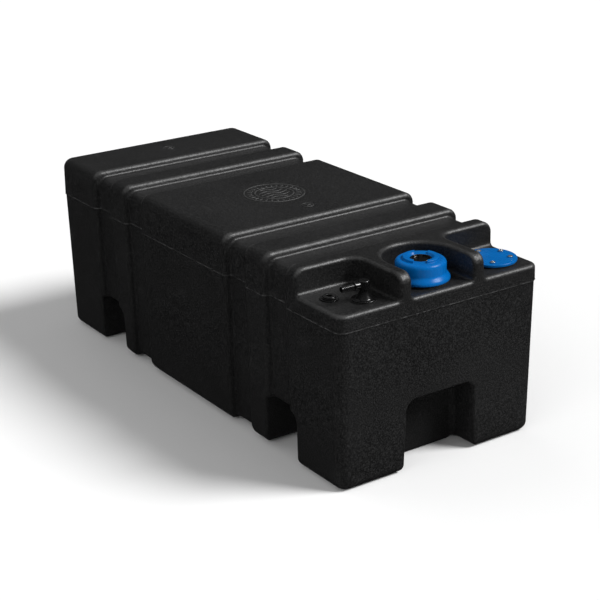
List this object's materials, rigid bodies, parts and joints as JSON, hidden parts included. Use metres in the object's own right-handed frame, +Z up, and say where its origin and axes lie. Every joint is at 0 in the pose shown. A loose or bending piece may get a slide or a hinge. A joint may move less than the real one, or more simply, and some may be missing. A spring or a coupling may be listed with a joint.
{
  "type": "fresh water tank",
  "caption": "Long ribbed black moulded water tank with strap grooves, a lowered fittings deck, a blue screw filler cap, a blue sender cover and a barbed outlet elbow.",
  "frame": {"origin": "centre of the footprint, on the surface the tank stands on", "axes": "+Z up, Y along the length with the fittings at the -Y end, X across"},
  "size_m": [0.35, 0.8094, 0.2956],
  "materials": {
    "black_polyethylene": "rough moulded skin",
    "blue_plastic": "smooth injection moulded",
    "black_nylon": "smooth injection moulded",
    "black_rubber": "matt",
    "filter_foam": "open-cell foam",
    "stainless_steel": "bright",
    "brass": "turned",
    "natural_tube": "milky"
  },
  "bodies": {
    "tank": {"tank_shell": "black_polyethylene", "filler_neck": "black_nylon", "neck_gasket": "black_rubber", "neck_nut": "black_nylon", "sender_plate": "blue_plastic", "sender_gasket": "black_rubber", "outlet_base": "black_nylon", "outlet_gasket": "black_rubber", "outlet_nut": "black_nylon", "dip_tube": "natural_tube", "strainer": "black_nylon", "plug_bush": "black_nylon", "plug_oring": "black_rubber", "blank_plug": "black_nylon", "sender_screw_1": "stainless_steel", "sender_insert_1": "brass", "sender_screw_2": "stainless_steel", "sender_insert_2": "brass", "sender_screw_3": "stainless_steel", "sender_insert_3": "brass", "sender_screw_4": "stainless_steel", "sender_insert_4": "brass", "sender_screw_5": "stainless_steel", "sender_insert_5": "brass"},
    "cap_carrier": {"cap_seal": "black_rubber"},
    "cap": {"filler_cap": "blue_plastic", "vent_insert": "black_nylon", "vent_filter": "filter_foam"},
    "elbow": {"outlet_elbow": "black_nylon", "elbow_button": "black_nylon", "elbow_oring": "black_rubber"}
  },
  "joints": [
    {"name": "cap_lift", "type": "slide", "parent": "tank", "child": "cap_carrier", "axis": [0, 0, 1], "range_m": [0, 0.12]},
    {"name": "cap_turn", "type": "hinge", "parent": "cap_carrier", "child": "cap", "pos_m": [0, -0.35325, 0.2585], "axis": [0, 0, 1], "range_deg": [0, 540]},
    {"name": "elbow_swivel", "type": "hinge", "parent": "tank", "child": "elbow", "pos_m": [-0.109, -0.36955, 0.2585], "axis": [0, 0, 1], "range_deg": [-145, 145]}
  ]
}
